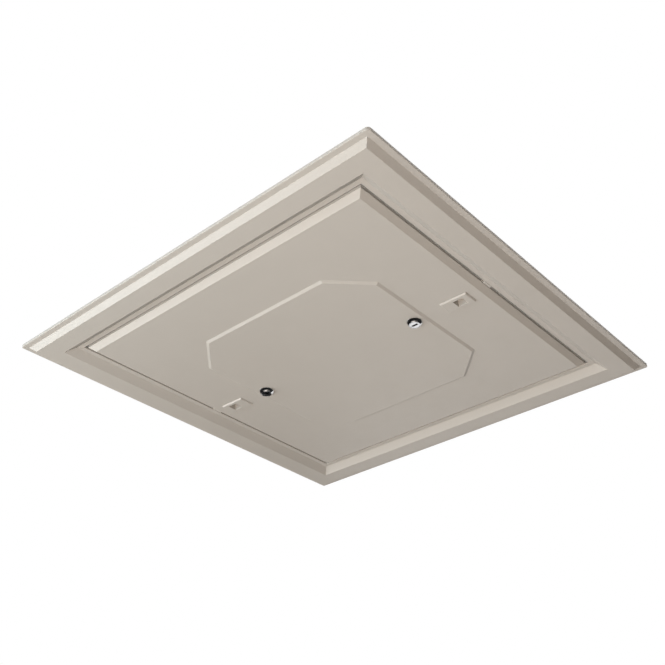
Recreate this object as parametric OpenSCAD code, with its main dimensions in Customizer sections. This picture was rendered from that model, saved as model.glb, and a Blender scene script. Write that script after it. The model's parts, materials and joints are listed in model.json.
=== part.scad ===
// Ceiling access panel: a square moulded frame with a lift-out door,
// two slide catches that carry the door and two key locks that secure it.
// The frame's lip lies against the ceiling at z = 0; the room is below.

/* [Frame] */
// Width across the outer edge of the lip
frame_w = 650; // [560:1:900]
// Thickness of the lip that lies on the ceiling
lip_t = 4; // [2:0.1:8]
// Width of the flat lip seen from the room
lip_w = 8.3; // [4:0.1:20]
// Corner radius of the lip in plan
lip_r = 5; // [1:0.5:8]
// Width of the bevel between the lip and the frame's face
outer_bevel_run = 8; // [4:0.1:15]
// Depth of that bevel
outer_bevel_drop = 6.1; // [3:0.1:12]
// Width of the frame's flat face
face_w = 27.9; // [20:0.1:60]
// Width of the bevel between the face and the door ledge
inner_bevel_run = 11.7; // [8:0.1:16]
// Height of that bevel
inner_bevel_rise = 9.4; // [6:0.1:12]
// Width of the ledge that the door hangs on
ledge_w = 7.6; // [6:0.1:14]
// Wall thickness of the frame moulding
frame_wall = 2.5; // [2:0.1:4]
// Height of the upstand above the ceiling
upstand_h = 55; // [50:1:120]
// Distance from the face's inner edge back to the upstand
upstand_inset = 1.3; // [0.5:0.1:3]
// Thickness of the gussets between the upstand and the outer bevel
gusset_t = 2; // [1.5:0.1:3]
// Distance between neighbouring gussets
gusset_pitch = 110; // [60:1:125]
// Rounding of the moulded edges
edge_r = 1; // [0.4:0.1:1.2]

/* [Fixing holes] */
// Diameter of the holes for the fixing screws
fixing_d = 5; // [3:0.5:8]
// Distance between the two holes of one side
fixing_spacing = 300; // [100:5:400]
// Height of the holes above the ceiling
fixing_z = 34; // [15:1:45]

/* [Door] */
// Gap between the ledge and the door's edge
door_gap = 4; // [2:0.1:6]
// Height of the ledge's underside above the door's edge
door_step = 0.2; // [0:0.1:1]
// Width of the door's bevelled edge
door_bevel_run = 8.7; // [5:0.1:12]
// Depth of the door's bevelled edge
door_bevel_drop = 5.9; // [4:0.1:8]
// Wall thickness of the door
door_wall = 2.5; // [2:0.1:4]
// Height of the door's rim above its edge
rim_h = 9.9; // [8:0.1:12]
// Height of the stiffening ribs on the door's back
rib_h = 8.3; // [6:0.1:12]
// Thickness of the stiffening ribs
rib_t = 2; // [1.5:0.1:3]
// Distance between neighbouring ribs
rib_pitch = 80; // [70:1:85]

/* [Raised octagon] */
// Distance from the door's edge to the octagon
octagon_margin = 95.5; // [90:0.5:105]
// Length that each corner takes off the octagon's sides
octagon_cut = 52; // [20:1:80]
// Height of the octagon above the door's face
octagon_h = 2.3; // [1:0.1:4]
// Width of the octagon's bevelled edge
octagon_bevel = 4; // [1:0.1:6]
// Rounding of the octagon's and the thumb plates' edges
pad_edge_r = 0.6; // [0.2:0.1:1]

/* [Slide catches] */
// Distance of the catches from the panel's middle, towards -X
catch_shift = 4; // [0:0.5:10]
// Distance from the door's edge to the middle of a thumb plate
thumb_margin = 45; // [42:0.5:47]
// Width of the thumb plate
thumb_w = 26.5; // [24:0.5:40]
// Length of the thumb plate
thumb_l = 43.5; // [43:0.5:52]
// Thickness of the thumb plate
thumb_t = 1.9; // [1.5:0.1:3]
// Width of the finger socket
socket_w = 14; // [10:0.5:18]
// Length of the finger socket
socket_l = 15; // [10:0.5:18]
// Depth of the finger socket
socket_depth = 9.4; // [5:0.1:9.6]
// Distance of the socket from the plate's middle, towards the frame
socket_shift = 4; // [2:0.5:5]
// Wall around the finger socket
socket_wall = 2; // [1.5:0.1:3]
// Length of the solid block that takes the bolt's screw
screw_block = 7; // [6.5:0.5:10]
// Width of the bolt
bolt_w = 16; // [12:0.5:20]
// Thickness of the bolt
bolt_t = 3.5; // [2.5:0.1:5]
// How far the bolt reaches onto the ledge
bolt_bite = 4; // [3:0.1:5]
// Travel of a catch towards the middle
catch_travel = 7.5; // [6:0.5:9.5]
// Length of the strap over a bolt
strap_l = 12; // [10:0.5:14]
// Thickness of the strap
strap_t = 2; // [1.5:0.1:3]
// Thickness of the bolt's guides
guide_t = 2.5; // [1.5:0.1:3]

/* [Key locks] */
// Distance of the locks from the panel's middle, towards -X
lock_shift = 8; // [0:0.5:12]
// Distance from the octagon's edge to a lock
lock_inset = 19; // [17:0.5:24]
// Diameter of the lock's head
head_d = 23; // [21.5:0.1:28]
// Diameter of the flat on the lock's head
head_face_d = 16.5; // [16:0.1:20]
// Height of the head below the octagon
head_h = 5.6; // [3:0.1:7]
// Height of the head's straight rim
head_rim = 0.8; // [0.4:0.1:1.5]
// Diameter of the threaded barrel
barrel_d = 18.6; // [17:0.1:19]
// Distance across the barrel's two flats
barrel_flats = 16; // [15:0.1:17]
// Diameter of the turning plug
plug_d = 13; // [11:0.1:13.5]
// Length of the key slot
key_l = 9; // [6:0.1:10]
// Width of the key slot
key_w = 2.5; // [1.5:0.1:3]
// Depth of the key slot
key_depth = 9; // [6:0.5:10]
// Distance across the flats of the barrel's nut
nut_flats = 24; // [23:0.5:26]
// Thickness of the barrel's nut
nut_t = 5; // [3:0.5:6]
// Width of the locking arm
arm_w = 20; // [16:0.5:24]
// Thickness of the locking arm
arm_t = 3; // [2:0.1:4]
// Distance from the arm's tip to the upstand
arm_end_gap = 3; // [2:0.1:5]
// Width across the square that drives the arm
drive_w = 8; // [6:0.1:8.5]

/* [Keepers] */
// Width of a keeper
keeper_w = 34; // [30:1:60]
// Thickness of a keeper
keeper_t = 2; // [1.5:0.1:3]
// Height of the keeper's leg on the upstand
keeper_h = 28; // [24:1:30]
// Inside radius of the keeper's bend
keeper_bend = 1.5; // [0.5:0.1:3]
// Distance between a keeper's two rivets
rivet_spacing = 18; // [14:0.5:20]
// Diameter of the rivets
rivet_d = 4; // [3:0.1:5]

/* [Insulation and seal] */
// Distance from the door's rim to the insulation block
insulation_gap = 15; // [8:0.5:40]
// Thickness of the insulation block
insulation_t = 44; // [30:1:46]
// Chamfer around the top of the insulation block
insulation_chamfer = 4; // [1:0.5:10]
// Thickness of the draught seal
seal_t = 2; // [1.5:0.1:3]

/* [Clearances] */
// Clearance between sliding flat faces
slide_gap = 0.3; // [0.2:0.05:0.5]
// Clearance around a pin or screw in its hole
pin_gap = 0.05; // [0.03:0.01:0.1]
// Clearance around the locking arms in their pocket
arm_gap = 4; // [3:0.5:6]
// Clearance between a locking arm and the keeper above it
keeper_gap = 1.5; // [1:0.1:3]
// Distance from a bolt's guides to the neck of its slide
guide_gap = 4.2; // [2:0.1:6]
// Clearance around a catch in the insulation
catch_room = 6; // [3:0.5:10]

/* [Hidden] */
$fn = 64;

// How far a cutter runs past what it cuts
cut = 1;
// Length that is longer than anything on the panel
far = 2 * frame_w;
// Straight pieces in each rounded corner of a profile
arc_steps = 3;

// Half-widths of the frame's profile, from the lip inwards
lip_u = frame_w / 2;
bevel_u = lip_u - lip_w;
face_u = bevel_u - outer_bevel_run;
face_in_u = face_u - face_w;
ledge_u = face_in_u - inner_bevel_run;
opening_u = ledge_u - ledge_w;
upstand_out_u = face_in_u - upstand_inset;
upstand_in_u = upstand_out_u - frame_wall;
upstand_mid_u = (upstand_out_u + upstand_in_u) / 2;

// Levels of the frame
face_z = -lip_t - outer_bevel_drop;
ledge_z = face_z + inner_bevel_rise;
ledge_top = ledge_z + frame_wall;
gusset_side = floor((upstand_in_u - gusset_pitch / 2) / gusset_pitch);

// The door's half-widths and levels
door_u = opening_u - door_gap;
rim_in_u = door_u - door_wall;
rim_mid_u = door_u - door_wall / 2;
door_face_u = door_u - door_bevel_run;
door_flat_u = door_face_u - door_bevel_run;
door_edge_z = ledge_z - door_step;
door_face_z = door_edge_z - door_bevel_drop;
skin_top = door_face_z + door_wall;
rim_top = door_edge_z + rim_h;
rib_top = skin_top + rib_h;

// The raised octagon, across its flats and across its corner cuts
octagon_u = door_u - octagon_margin;
octagon_diagonal_u = (octagon_u - octagon_cut / 2) * sqrt(2);
octagon_z = door_face_z - octagon_h;

// The slide catch, measured outwards from the panel's middle
thumb_y = door_u - thumb_margin;
socket_y = thumb_y + socket_shift;
neck_out_y = socket_y + socket_l / 2 + socket_wall;
neck_in_y = socket_y - socket_l / 2 - socket_wall - screw_block;
neck_w = socket_w + 2 * socket_wall;
thumb_top = door_face_z - slide_gap;
bolt_z = ledge_top + slide_gap;
bolt_top = bolt_z + bolt_t;
bolt_tip_y = opening_u + bolt_bite;
heel_z = ledge_z + slide_gap;
catch_screw_y = neck_in_y + screw_block / 2;
catch_screw_d = 3;
screw_head_d = 6;
screw_head_h = 2;
screw_hole_l = 8;
screw_l = 7;

// The strap over the bolt, its guides and its screw posts
guide_in_y = neck_out_y + guide_gap;
guide_out_y = rim_in_u - slide_gap;
guide_x = bolt_w / 2 + slide_gap;
strap_y = (guide_in_y + guide_out_y) / 2;
strap_z = bolt_top + slide_gap;
strap_top = strap_z + strap_t;
post_d = 8;
post_gap = 1;
post_x = guide_x + guide_t + post_gap + post_d / 2;
strap_end_x = post_x + post_d / 2 + post_gap;

// The lock, from its head upwards
lock_y = octagon_u - lock_inset;
lock_seat_z = octagon_z + door_wall;
head_z = octagon_z - head_h;
head_edge_r = 0.6;
plug_lip = 0.7;
plug_lip_h = 2;
plug_inset = 0.2;
plug_float = 0.1;
arm_lift = 2;
arm_z = strap_top + screw_head_h + arm_lift;
arm_top = arm_z + arm_t;
barrel_top = arm_z - slide_gap;
lock_washer_t = 1;
lock_washer_rim = 3.5;
lock_washer_d = barrel_d + 2 * lock_washer_rim;
arm_reach = upstand_in_u - lock_y - arm_end_gap;
arm_hub_rim = 2;
arm_hub_d = arm_w + 2 * arm_hub_rim;
arm_tip_r = arm_w / 4;
arm_washer_d = 14;
arm_washer_t = 1.2;
arm_screw_d = 5;
arm_screw_l = 12;
arm_screw_flats = 8;
arm_screw_head_h = 3.5;
hex_corner = 1 / cos(30);

// The keepers on the upstand
keeper_z = arm_top + keeper_gap;
keeper_tip_gap = 1;
keeper_in_y = bolt_tip_y + keeper_tip_gap;
rivet_z = keeper_z + keeper_t + (keeper_h - keeper_t) / 2;
rivet_head_d = 2 * rivet_d;
rivet_head_h = 1.4;
rivet_tail_d = 1.6 * rivet_d;
rivet_tail_h = 1;

// The insulation block and the room it leaves for the catches
insulation_u = rim_in_u - insulation_gap;
catch_pocket_x = strap_end_x + catch_room;
catch_pocket_y = neck_in_y - catch_travel - 2 * catch_room;

// The draught seal on the ledge
seal_edge_gap = 1;
seal_back_gap = 0.5;
seal_in_u = opening_u + seal_edge_gap;
seal_out_u = ledge_u - seal_back_gap;
seal_lip_u = door_u + slide_gap;

plastic_colour = [0.93, 0.92, 0.88];
metal_colour = [0.78, 0.79, 0.80];
foam_colour = [0.96, 0.96, 0.97];
rubber_colour = [0.35, 0.35, 0.35];

function unit(v) = v / norm(v);

function on_circle(r, angle) = r * [cos(angle), sin(angle)];

// An angle brought into the half turn to either side of zero
function short_way(angle) = (angle + 3 * 180) % 360 - 180;

// Points of an arc of radius r that rounds the corner p between a and b
function corner_arc(a, p, b, r) =
  r <= 0 ? [p] :
  let (
    u = unit(a - p),
    w = unit(b - p),
    half = acos(u * w) / 2,
    c = p + unit(u + w) * r / sin(half),
    s = p + u * r / tan(half) - c,
    e = p + w * r / tan(half) - c,
    start = atan2(s.y, s.x),
    sweep = short_way(atan2(e.y, e.x) - start)
  )
  [for (k = [0:arc_steps]) c + on_circle(r, start + sweep * k / arc_steps)];

// An outline given as [point, radius] pairs, with those corners rounded
function rounded(pairs) =
  let (n = len(pairs))
  [for (i = [0:n - 1])
    each corner_arc(pairs[(i + n - 1) % n][0], pairs[i][0], pairs[(i + 1) % n][0], pairs[i][1])];

// A square ring with mitred corners, from a profile of half-width and height
module mitred_ring(profile) {
  for (turn = [0:90:270])
    rotate([0, 0, turn])
      intersection() {
        rotate([90, 0, 0])
          linear_extrude(far, center = true)
            polygon(profile);
        linear_extrude(far, center = true)
          polygon([[0, 0], [frame_w, -frame_w], [frame_w, frame_w]]);
      }
}

// A square of the given half-width with round corners
module rounded_square(half, r) {
  square([2 * half, 2 * (half - r)], center = true);
  square([2 * (half - r), 2 * half], center = true);
  for (x = [-1, 1], y = [-1, 1])
    translate([x * (half - r), y * (half - r)])
      circle(r);
}

// A long bar with a foot of height lap above z = 0, which narrows by run over its height h below
module bevel_bar(half, run, h, lap) {
  rotate([90, 0, 0])
    linear_extrude(far, center = true)
      polygon(rounded([
        [[-half, lap], 0],
        [[half, lap], 0],
        [[half, 0], 0],
        [[half - run, -h], pad_edge_r],
        [[run - half, -h], pad_edge_r],
        [[-half, 0], 0]
      ]));
}

// A rectangle with bevelled edges, given by its two half-widths
module bevelled_pad(half_x, half_y, run, h, lap) {
  intersection() {
    bevel_bar(half_x, run, h, lap);
    rotate([0, 0, 90]) bevel_bar(half_y, run, h, lap);
  }
}

// The raised octagon with bevelled edges, below z = 0
module raised_octagon(lap) {
  intersection() {
    bevelled_pad(octagon_u, octagon_u, octagon_bevel, octagon_h, lap);
    rotate([0, 0, 45])
      bevelled_pad(octagon_diagonal_u, octagon_diagonal_u, octagon_bevel, octagon_h, lap);
  }
}

module tube(outer_d, inner_d, h) {
  difference() {
    cylinder(d = outer_d, h = h);
    translate([0, 0, -cut]) cylinder(d = inner_d, h = h + 2 * cut);
  }
}

// Side b is on +Y and side a is the same turned by half a turn, both shifted towards -X
module side(name, shift) {
  translate([-shift, 0, 0])
    rotate([0, 0, name == "a" ? 180 : 0])
      children();
}

module both_sides(shift) {
  side("a", shift) children();
  side("b", shift) children();
}

function bevel_back(u) = ledge_top - (u - ledge_u) * inner_bevel_rise / inner_bevel_run;

frame_profile = rounded([
  [[lip_u, 0], 0],
  [[lip_u, -lip_t], edge_r],
  [[bevel_u, -lip_t], edge_r],
  [[face_u, face_z], edge_r],
  [[face_in_u, face_z], edge_r],
  [[ledge_u, ledge_z], edge_r],
  [[opening_u, ledge_z], edge_r / 2],
  [[opening_u, ledge_top], 0],
  [[ledge_u, ledge_top], 0],
  [[upstand_in_u, bevel_back(upstand_in_u)], 0],
  [[upstand_in_u, upstand_h], edge_r],
  [[upstand_out_u, upstand_h], edge_r],
  [[upstand_out_u, bevel_back(upstand_out_u)], 0],
  [[face_in_u, face_z + frame_wall], 0],
  [[face_u, face_z + frame_wall], 0],
  [[bevel_u, 0], 0]
]);

module frame_moulding() {
  color(plastic_colour)
    difference() {
      union() {
        intersection() {
          mitred_ring(frame_profile);
          linear_extrude(far, center = true)
            rounded_square(lip_u, lip_r);
        }
        for (turn = [0:90:270], i = [-gusset_side:gusset_side])
          rotate([0, 0, turn])
            translate([0, i * gusset_pitch, 0])
              frame_gusset();
      }
      for (turn = [0:90:270], x = [-1, 1])
        rotate([0, 0, turn])
          translate([x * fixing_spacing / 2, upstand_in_u - cut, fixing_z])
            rotate([-90, 0, 0])
              cylinder(d = fixing_d, h = frame_wall + 2 * cut);
      both_sides(lock_shift) rivet_holes();
    }
}

// A web behind the frame's face, just below the ceiling
module frame_gusset() {
  mid = frame_wall / 2;
  rotate([90, 0, 0])
    linear_extrude(gusset_t, center = true)
      polygon([
        [upstand_mid_u, -slide_gap],
        [upstand_mid_u, bevel_back(upstand_mid_u) - mid],
        [face_in_u, face_z + mid],
        [face_u, face_z + mid],
        [bevel_u, -lip_t / 2],
        [bevel_u, -slide_gap]
      ]);
}

module rivet_holes() {
  for (x = [-1, 1])
    translate([x * rivet_spacing / 2, upstand_out_u + cut, rivet_z])
      rotate([90, 0, 0])
        cylinder(d = rivet_d + 2 * pin_gap, h = frame_wall + keeper_t + 2 * cut);
}

seal_profile = [
  [seal_in_u, ledge_top],
  [seal_out_u, ledge_top],
  [seal_out_u, ledge_top + seal_t],
  [seal_lip_u, ledge_top + seal_t],
  [seal_lip_u, ledge_top + seal_t / 2],
  [seal_in_u, ledge_top + seal_t / 2]
];

module draught_seal() {
  notch_x = bolt_w / 2 + seal_edge_gap;
  color(rubber_colour)
    difference() {
      mitred_ring(seal_profile);
      both_sides(catch_shift)
        translate([-notch_x, door_u, ledge_top - cut])
          cube([2 * notch_x, ledge_u - door_u, seal_t + 2 * cut]);
    }
}

module lock_keepers() {
  color(metal_colour)
    both_sides(lock_shift)
      difference() {
        rotate([90, 0, 90])
          linear_extrude(keeper_w, center = true)
            polygon(rounded([
              [[upstand_in_u, keeper_z], keeper_bend + keeper_t],
              [[keeper_in_y, keeper_z], 0],
              [[keeper_in_y, keeper_z + keeper_t], 0],
              [[upstand_in_u - keeper_t, keeper_z + keeper_t], keeper_bend],
              [[upstand_in_u - keeper_t, keeper_z + keeper_h], 0],
              [[upstand_in_u, keeper_z + keeper_h], 0]
            ]));
        rivet_holes();
      }
}

module keeper_rivets() {
  color(metal_colour)
    both_sides(lock_shift)
      for (x = [-1, 1])
        translate([x * rivet_spacing / 2, upstand_in_u - keeper_t, rivet_z])
          rotate([-90, 0, 0])
            rivet();
}

module rivet() {
  grip = keeper_t + frame_wall;
  translate([0, 0, -rivet_head_h]) cylinder(d = rivet_head_d, h = rivet_head_h);
  cylinder(d = rivet_d, h = grip);
  translate([0, 0, grip]) cylinder(d = rivet_tail_d, h = rivet_tail_h);
}

door_edge_profile = rounded([
  [[door_flat_u, door_face_z], 0],
  [[door_face_u, door_face_z], edge_r],
  [[door_u, door_edge_z], edge_r / 2],
  [[door_u, rim_top], edge_r / 2],
  [[rim_in_u, rim_top], edge_r / 2],
  [[rim_in_u, door_edge_z + door_wall - door_wall * door_bevel_drop / door_bevel_run], 0],
  [[door_face_u, skin_top], 0],
  [[door_flat_u, skin_top], 0]
]);

module door_skin() {
  plate_u = (door_flat_u + door_face_u) / 2;
  difference() {
    union() {
      mitred_ring(door_edge_profile);
      translate([-plate_u, -plate_u, door_face_z])
        cube([2 * plate_u, 2 * plate_u, door_wall]);
      translate([0, 0, door_face_z]) raised_octagon(door_wall / 2);
    }
    translate([0, 0, skin_top]) raised_octagon(cut);
  }
}

// The space above the middle of the door's skin and inside its rim
module inside_door() {
  half_wall = door_wall / 2;
  translate([0, 0, door_face_z + half_wall]) raised_octagon(cut);
  intersection() {
    translate([0, 0, door_edge_z + half_wall])
      bevelled_pad(door_u, door_u, door_bevel_run, door_bevel_drop, strap_top - door_edge_z);
    cube([2 * rim_mid_u, 2 * rim_mid_u, far], center = true);
  }
}

// Ribs across the door's back, clear of the locks and the catches
module door_ribs() {
  for (i = [-1:1])
    translate([-rim_mid_u, i * rib_pitch - rib_t / 2, octagon_z])
      cube([2 * rim_mid_u, rib_t, rib_top - octagon_z]);
  for (i = [-2, -1, 1, 2])
    translate([i * rib_pitch - rib_t / 2, -rim_mid_u, octagon_z])
      cube([rib_t, 2 * rim_mid_u, rib_top - octagon_z]);
}

// Guides, rest and screw posts of one catch on the door's back
module catch_guides() {
  for (x = [-1, 1]) {
    translate([x * (guide_x + guide_t / 2) - guide_t / 2, guide_in_y, octagon_z])
      cube([guide_t, guide_out_y - guide_in_y, bolt_top - octagon_z]);
    translate([x * post_x, strap_y, octagon_z])
      cylinder(d = post_d, h = strap_z - octagon_z);
  }
  translate([-guide_x - guide_t / 2, strap_y - strap_l / 2, octagon_z])
    cube([2 * guide_x + guide_t, strap_l / 2, bolt_z - slide_gap - octagon_z]);
}

module strap_screw_holes() {
  for (x = [-1, 1])
    translate([x * post_x, strap_y, strap_top - screw_hole_l])
      cylinder(d = catch_screw_d + 2 * pin_gap, h = screw_hole_l + cut);
}

// Slot in the skin for a catch's neck, and the notch in the rim for its bolt
module catch_cuts() {
  slot_y = neck_in_y - catch_travel - slide_gap;
  slot_x = neck_w / 2 + slide_gap;
  translate([-slot_x, slot_y, octagon_z - cut])
    cube([2 * slot_x, neck_out_y + slide_gap - slot_y, skin_top - octagon_z + 2 * cut]);
  translate([-guide_x, door_u - 2 * door_wall, heel_z - slide_gap])
    cube([2 * guide_x, 3 * door_wall, rim_top - heel_z + cut]);
  strap_screw_holes();
}

// The barrel's outline: a circle with two flats
module barrel_outline(gap) {
  intersection() {
    circle(d = barrel_d + 2 * gap);
    square([barrel_flats + 2 * gap, 2 * barrel_d], center = true);
  }
}

module door_panel() {
  color(plastic_colour)
    difference() {
      union() {
        door_skin();
        intersection() {
          inside_door();
          union() {
            door_ribs();
            both_sides(catch_shift) catch_guides();
          }
        }
      }
      both_sides(catch_shift) catch_cuts();
      both_sides(lock_shift)
        translate([0, lock_y, octagon_z - cut])
          linear_extrude(door_wall + 2 * cut)
            barrel_outline(slide_gap / 2);
    }
}

// Plan of the block, with room for the swinging arms and the catches
module insulation_outline() {
  pocket_r = arm_reach + arm_gap;
  edge = arm_hub_d / 2 + arm_gap;
  difference() {
    square(2 * insulation_u, center = true);
    both_sides(lock_shift)
      translate([0, lock_y])
        intersection() {
          circle(pocket_r);
          translate([-pocket_r, -edge]) square(pocket_r + edge);
        }
    both_sides(catch_shift)
      translate([-catch_pocket_x, catch_pocket_y])
        square([2 * catch_pocket_x, insulation_u]);
  }
}

module insulation_block() {
  color(foam_colour)
    translate([0, 0, rib_top])
      intersection() {
        linear_extrude(insulation_t) insulation_outline();
        translate([0, 0, insulation_t - insulation_chamfer])
          mirror([0, 0, 1])
            bevelled_pad(insulation_u, insulation_u, insulation_chamfer, insulation_chamfer, insulation_t);
      }
}

module catch_straps() {
  tongue_x = strap_end_x - strap_l / 2;
  color(metal_colour)
    both_sides(catch_shift)
      difference() {
        translate([0, strap_y, strap_z])
          linear_extrude(strap_t) {
            square([2 * tongue_x, strap_l], center = true);
            for (x = [-1, 1])
              translate([x * tongue_x, 0]) circle(d = strap_l);
          }
        strap_screw_holes();
      }
}

// A pan-head screw with its head's underside at z = 0
module pan_screw() {
  cylinder(d = screw_head_d, h = screw_head_h);
  translate([0, 0, -screw_l]) cylinder(d = catch_screw_d, h = screw_l);
}

module strap_screws() {
  color(metal_colour)
    both_sides(catch_shift)
      for (x = [-1, 1])
        translate([x * post_x, strap_y, strap_top])
          pan_screw();
}

module catch_slide() {
  neck_z = thumb_top - thumb_t / 2;
  color(plastic_colour)
    difference() {
      union() {
        translate([0, thumb_y, thumb_top])
          bevelled_pad(thumb_w / 2, thumb_l / 2, thumb_t, thumb_t, 0);
        translate([-neck_w / 2, neck_in_y, neck_z])
          cube([neck_w, neck_out_y - neck_in_y, bolt_z - neck_z]);
      }
      translate([-socket_w / 2, socket_y - socket_l / 2, thumb_top - thumb_t - cut])
        cube([socket_w, socket_l, socket_depth + cut]);
      catch_screw_hole();
    }
}

module catch_screw_hole() {
  translate([0, catch_screw_y, bolt_top - screw_hole_l])
    cylinder(d = catch_screw_d + 2 * pin_gap, h = screw_hole_l + cut);
}

// The bolt bar, with a heel that fills the gap beside the ledge
module catch_bolt() {
  color(plastic_colour)
    difference() {
      rotate([90, 0, 90])
        linear_extrude(bolt_w, center = true)
          polygon([
            [neck_in_y, bolt_z],
            [door_u + slide_gap, bolt_z],
            [door_u + slide_gap, heel_z],
            [opening_u - slide_gap, heel_z],
            [opening_u - slide_gap, bolt_z],
            [bolt_tip_y, bolt_z],
            [bolt_tip_y, bolt_z + bolt_t / 2],
            [bolt_tip_y - bolt_t / 2, bolt_top],
            [neck_in_y, bolt_top]
          ]);
      catch_screw_hole();
    }
}

module catch_screw() {
  color(metal_colour)
    translate([0, catch_screw_y, bolt_top])
      pan_screw();
}

module lock_body() {
  bore_r = plug_d / 2 + pin_gap;
  mouth_r = bore_r + plug_lip;
  color(metal_colour)
    translate([0, lock_y, 0])
      difference() {
        rotate_extrude()
          polygon(rounded([
            [[mouth_r, head_z], 0],
            [[head_face_d / 2, head_z], head_edge_r],
            [[head_d / 2, octagon_z - head_rim], head_edge_r],
            [[head_d / 2, octagon_z], 0],
            [[barrel_d / 2, octagon_z], 0],
            [[barrel_d / 2, barrel_top], 0],
            [[bore_r, barrel_top], 0],
            [[bore_r, head_z + plug_lip_h], 0],
            [[mouth_r, head_z + plug_lip_h], 0]
          ]));
        for (x = [-1, 1])
          translate([x * (barrel_flats / 2 + barrel_d / 2) - barrel_d / 2, -barrel_d, octagon_z])
            cube([barrel_d, 2 * barrel_d, barrel_top - octagon_z + cut]);
      }
}

module lock_washer() {
  color(metal_colour)
    translate([0, lock_y, lock_seat_z])
      tube(lock_washer_d, barrel_d + 2 * pin_gap, lock_washer_t);
}

module lock_nut() {
  color(metal_colour)
    translate([0, lock_y, lock_seat_z + lock_washer_t])
      difference() {
        cylinder(d = nut_flats * hex_corner, h = nut_t, $fn = 6);
        translate([0, 0, -cut]) cylinder(d = barrel_d + 2 * pin_gap, h = nut_t + 2 * cut);
      }
}

module lock_plug() {
  front = head_z + plug_inset;
  lip_top = head_z + plug_lip_h - plug_float;
  color(metal_colour)
    translate([0, lock_y, 0])
      difference() {
        union() {
          rotate_extrude()
            polygon([
              [0, front],
              [plug_d / 2 + plug_lip, front],
              [plug_d / 2 + plug_lip, lip_top],
              [plug_d / 2, lip_top],
              [plug_d / 2, arm_z],
              [0, arm_z]
            ]);
          translate([-drive_w / 2, -drive_w / 2, arm_z - cut])
            cube([drive_w, drive_w, arm_t + cut]);
        }
        translate([-key_w / 2, -key_l / 2, front - cut])
          cube([key_w, key_l, key_depth + cut]);
        translate([0, 0, arm_top - arm_screw_l])
          cylinder(d = arm_screw_d + 2 * pin_gap, h = arm_screw_l + cut);
      }
}

// The locking arm at rest, pointing along -X on side b
module lock_arm() {
  straight = arm_reach - arm_tip_r;
  hole = drive_w + 2 * pin_gap;
  color(metal_colour)
    translate([0, lock_y, arm_z])
      linear_extrude(arm_t)
        difference() {
          union() {
            circle(d = arm_hub_d);
            translate([-straight, -arm_w / 2]) square([straight, arm_w]);
            translate([-arm_reach, arm_tip_r - arm_w / 2]) square([arm_reach, arm_w - 2 * arm_tip_r]);
            for (y = [-1, 1])
              translate([-straight, y * (arm_w / 2 - arm_tip_r)]) circle(arm_tip_r);
          }
          square(hole, center = true);
        }
}

module lock_arm_washer() {
  color(metal_colour)
    translate([0, lock_y, arm_top])
      tube(arm_washer_d, arm_screw_d + 2 * pin_gap, arm_washer_t);
}

module lock_arm_screw() {
  color(metal_colour)
    translate([0, lock_y, arm_top + arm_washer_t]) {
      cylinder(d = arm_screw_flats * hex_corner, h = arm_screw_head_h, $fn = 6);
      translate([0, 0, -arm_screw_l]) cylinder(d = arm_screw_d, h = arm_screw_l);
    }
}

frame_moulding();
draught_seal();
lock_keepers();
keeper_rivets();
door_panel();
insulation_block();
catch_straps();
strap_screws();
side("a", catch_shift) catch_slide();  // catch_a_slide
side("a", catch_shift) catch_bolt();  // catch_a_bolt
side("a", catch_shift) catch_screw();  // catch_a_screw
side("b", catch_shift) catch_slide();  // catch_b_slide
side("b", catch_shift) catch_bolt();  // catch_b_bolt
side("b", catch_shift) catch_screw();  // catch_b_screw
side("a", lock_shift) lock_body();  // lock_a_body
side("a", lock_shift) lock_washer();  // lock_a_washer
side("a", lock_shift) lock_nut();  // lock_a_nut
side("a", lock_shift) lock_plug();  // lock_a_plug
side("a", lock_shift) lock_arm();  // lock_a_arm
side("a", lock_shift) lock_arm_washer();  // lock_a_arm_washer
side("a", lock_shift) lock_arm_screw();  // lock_a_arm_screw
side("b", lock_shift) lock_body();  // lock_b_body
side("b", lock_shift) lock_washer();  // lock_b_washer
side("b", lock_shift) lock_nut();  // lock_b_nut
side("b", lock_shift) lock_plug();  // lock_b_plug
side("b", lock_shift) lock_arm();  // lock_b_arm
side("b", lock_shift) lock_arm_washer();  // lock_b_arm_washer
side("b", lock_shift) lock_arm_screw();  // lock_b_arm_screw
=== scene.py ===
"""Ceiling access panel: finishes, fine detail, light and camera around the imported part."""
import json
import math

import bmesh
import bpy
from mathutils import Matrix, Vector


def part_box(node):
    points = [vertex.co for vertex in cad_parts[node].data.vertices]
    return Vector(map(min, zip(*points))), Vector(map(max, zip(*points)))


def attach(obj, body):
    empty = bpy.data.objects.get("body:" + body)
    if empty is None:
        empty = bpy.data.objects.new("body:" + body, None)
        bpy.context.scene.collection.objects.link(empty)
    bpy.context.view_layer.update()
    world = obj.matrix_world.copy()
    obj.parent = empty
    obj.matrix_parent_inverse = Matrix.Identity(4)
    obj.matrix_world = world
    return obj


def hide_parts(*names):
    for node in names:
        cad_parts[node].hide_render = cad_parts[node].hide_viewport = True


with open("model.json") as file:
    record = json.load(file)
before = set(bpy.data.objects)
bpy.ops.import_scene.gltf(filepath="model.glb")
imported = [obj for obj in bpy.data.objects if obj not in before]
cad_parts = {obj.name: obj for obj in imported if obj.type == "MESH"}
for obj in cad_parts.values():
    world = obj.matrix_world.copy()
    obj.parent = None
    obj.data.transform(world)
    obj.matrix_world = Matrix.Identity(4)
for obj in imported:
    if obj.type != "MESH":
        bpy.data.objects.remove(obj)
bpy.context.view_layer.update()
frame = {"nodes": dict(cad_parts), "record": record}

MM = 0.001
FULL_TURN = 2 * math.pi
TINY = 1e-6
# Edges of the detailed meshes that bend by more than this stay sharp
SHARP_EDGE = math.radians(32)
LOCKS = ("lock_a", "lock_b")

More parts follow.
